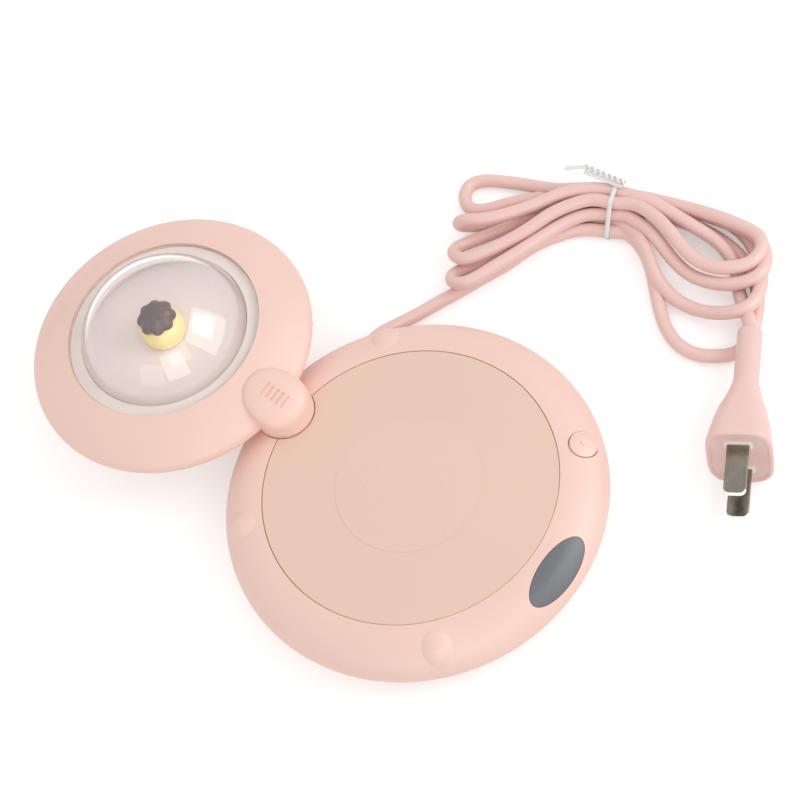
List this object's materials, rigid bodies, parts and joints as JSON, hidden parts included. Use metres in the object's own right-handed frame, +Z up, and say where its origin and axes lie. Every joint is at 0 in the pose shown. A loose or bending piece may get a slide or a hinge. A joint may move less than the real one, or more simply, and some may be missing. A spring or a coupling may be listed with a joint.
{
  "type": "electric mug warmer",
  "caption": "Round electric mug warmer: saucer base with a flat heating plate, oval display and push button, a swivelling night-light lid under a clear dome, and a tied mains cord.",
  "frame": {"origin": "centre of the base's anti-slip pad on the standing surface, straight under the middle of the heating plate", "axes": "+Z up; +Y from the base's centre towards the swivel pivot, over which the lid lies when it is swung fully open; +X to the right of that, on the cord's side"},
  "size_m": [0.1879, 0.2223, 0.0495],
  "materials": {
    "shell": "soft-touch matt pink",
    "plate": "satin beige-pink coating",
    "film": "clear self-adhesive film",
    "window": "dark tinted",
    "rubber": "matt",
    "steel": "bright zinc-plated",
    "nickel": "nickel-plated",
    "brass": "turned",
    "mat": "amber insulating sheet",
    "felt": "pressed ceramic felt",
    "board": "green circuit board",
    "chips": "black moulded",
    "lamp": "pale resin",
    "nylon": "natural",
    "clear": "clear polished",
    "milky": "translucent",
    "cream": "painted",
    "cap": "painted",
    "cord": "satin pink",
    "tie": "white"
  },
  "bodies": {
    "base": {"anti_slip_pad": "rubber", "base_tray": "shell", "board_parts": "chips", "board_screws": "steel", "case_screws": "steel", "clamp_screws": "steel", "control_board": "board", "cord_hank": "cord", "cord_lead": "cord", "cord_tail": "cord", "cord_tie": "tie", "display_board": "board", "display_module": "chips", "display_window": "window", "heater_clamp": "steel", "heater_mat": "mat", "heating_plate": "plate", "insulation_felt": "felt", "pivot_bush": "brass", "plate_film": "film", "plug_body": "cord", "plug_pins": "nickel", "rim_shell": "shell", "strain_relief": "cord", "switch_board": "board", "tact_switch": "chips", "temperature_sensor": "lamp", "thermal_fuse": "steel", "thrust_washer": "nylon"},
    "button": {"button_cap": "shell", "switch_plunger": "nylon"},
    "lid": {"lamp_dome": "clear", "lamp_lead": "cord", "lamp_platform": "milky", "led_board": "board", "leds": "lamp", "lid_cover": "shell", "lid_screws": "steel", "lid_shell": "shell", "ornament_body": "cream", "ornament_cap": "cap", "pivot_knob": "shell", "pivot_shaft": "steel", "retaining_ring": "steel"}
  },
  "joints": [
    {"name": "lid_swivel", "type": "hinge", "parent": "base", "child": "lid", "pos_m": [0, 0.047, 0.019], "axis": [0, 0, 1], "range_deg": [0, 180]},
    {"name": "button_press", "type": "slide", "parent": "base", "child": "button", "axis": [-0.2955, 0.2955, -0.9085], "range_m": [0, 0.0006], "stiffness_N_per_m": 800}
  ]
}
